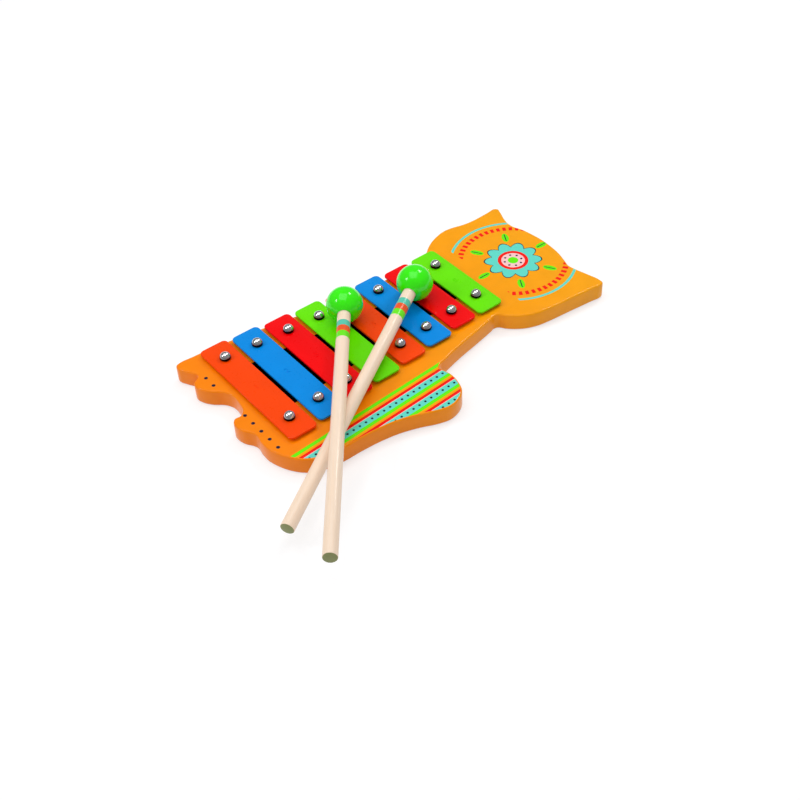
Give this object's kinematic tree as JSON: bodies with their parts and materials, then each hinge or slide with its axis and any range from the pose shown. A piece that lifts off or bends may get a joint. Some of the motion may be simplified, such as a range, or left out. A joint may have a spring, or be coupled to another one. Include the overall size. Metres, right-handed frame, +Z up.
{
  "type": "toy metallophone",
  "caption": "Child's metallophone: painted metal bars held by domed pins over a flat wooden board in the outline of a lying animal, with ball-headed mallets laid across it.",
  "frame": {"origin": "on the board's underside, below the middle of the row of bars", "axes": "+X along the row from the longest bar to the shortest, +Y across the row away from the tail, +Z up"},
  "size_m": [0.3668, 0.2577, 0.0496],
  "materials": {
    "orange_paint": "glossy orange paint on wood",
    "bar_vermilion": "glossy orange-red enamel",
    "bar_blue": "glossy blue enamel",
    "bar_red": "glossy red enamel",
    "bar_green": "glossy yellow-green enamel",
    "chrome": "polished",
    "felt": "matte pressed felt",
    "pale_wood": "satin clear lacquer on pale wood with painted bands",
    "green_gloss": "glossy green paint on a turned ball"
  },
  "bodies": {
    "base": {"board": "orange_paint", "pin_1_far": "chrome", "pin_1_near": "chrome", "pin_2_far": "chrome", "pin_2_near": "chrome", "pin_3_far": "chrome", "pin_3_near": "chrome", "pin_4_far": "chrome", "pin_4_near": "chrome", "pin_5_far": "chrome", "pin_5_near": "chrome", "pin_6_far": "chrome", "pin_6_near": "chrome", "pin_7_far": "chrome", "pin_7_near": "chrome", "pin_8_far": "chrome", "pin_8_near": "chrome", "washer_1_far": "felt", "washer_1_near": "felt", "washer_2_far": "felt", "washer_2_near": "felt", "washer_3_far": "felt", "washer_3_near": "felt", "washer_4_far": "felt", "washer_4_near": "felt", "washer_5_far": "felt", "washer_5_near": "felt", "washer_6_far": "felt", "washer_6_near": "felt", "washer_7_far": "felt", "washer_7_near": "felt", "washer_8_far": "felt", "washer_8_near": "felt"},
    "bar_1": {"bar_1": "bar_vermilion"},
    "bar_2": {"bar_2": "bar_blue"},
    "bar_3": {"bar_3": "bar_red"},
    "bar_4": {"bar_4": "bar_green"},
    "bar_5": {"bar_5": "bar_vermilion"},
    "bar_6": {"bar_6": "bar_blue"},
    "bar_7": {"bar_7": "bar_red"},
    "bar_8": {"bar_8": "bar_green"},
    "mallet_right": {"mallet_right_stick": "pale_wood", "mallet_right_head": "green_gloss"},
    "mallet_left": {"mallet_left_stick": "pale_wood", "mallet_left_head": "green_gloss"}
  },
  "joints": [
    {"name": "bar_1_float", "type": "slide", "parent": "base", "child": "bar_1", "axis": [0, 0, 1], "range_m": [0, 0.00025]},
    {"name": "bar_2_float", "type": "slide", "parent": "base", "child": "bar_2", "axis": [0, 0, 1], "range_m": [0, 0.00025]},
    {"name": "bar_3_float", "type": "slide", "parent": "base", "child": "bar_3", "axis": [0, 0, 1], "range_m": [0, 0.00025]},
    {"name": "bar_4_float", "type": "slide", "parent": "base", "child": "bar_4", "axis": [0, 0, 1], "range_m": [0, 0.00025]},
    {"name": "bar_5_float", "type": "slide", "parent": "base", "child": "bar_5", "axis": [0, 0, 1], "range_m": [0, 0.00025]},
    {"name": "bar_6_float", "type": "slide", "parent": "base", "child": "bar_6", "axis": [0, 0, 1], "range_m": [0, 0.00025]},
    {"name": "bar_7_float", "type": "slide", "parent": "base", "child": "bar_7", "axis": [0, 0, 1], "range_m": [0, 0.00025]},
    {"name": "bar_8_float", "type": "slide", "parent": "base", "child": "bar_8", "axis": [0, 0, 1], "range_m": [0, 0.00025]},
    {"name": "mallet_right_lift", "type": "slide", "parent": "base", "child": "mallet_right", "axis": [0, 0, 1], "range_m": [0, 0.12]},
    {"name": "mallet_left_lift", "type": "slide", "parent": "mallet_right", "child": "mallet_left", "axis": [0, 0, 1], "range_m": [0, 0.08]}
  ]
}
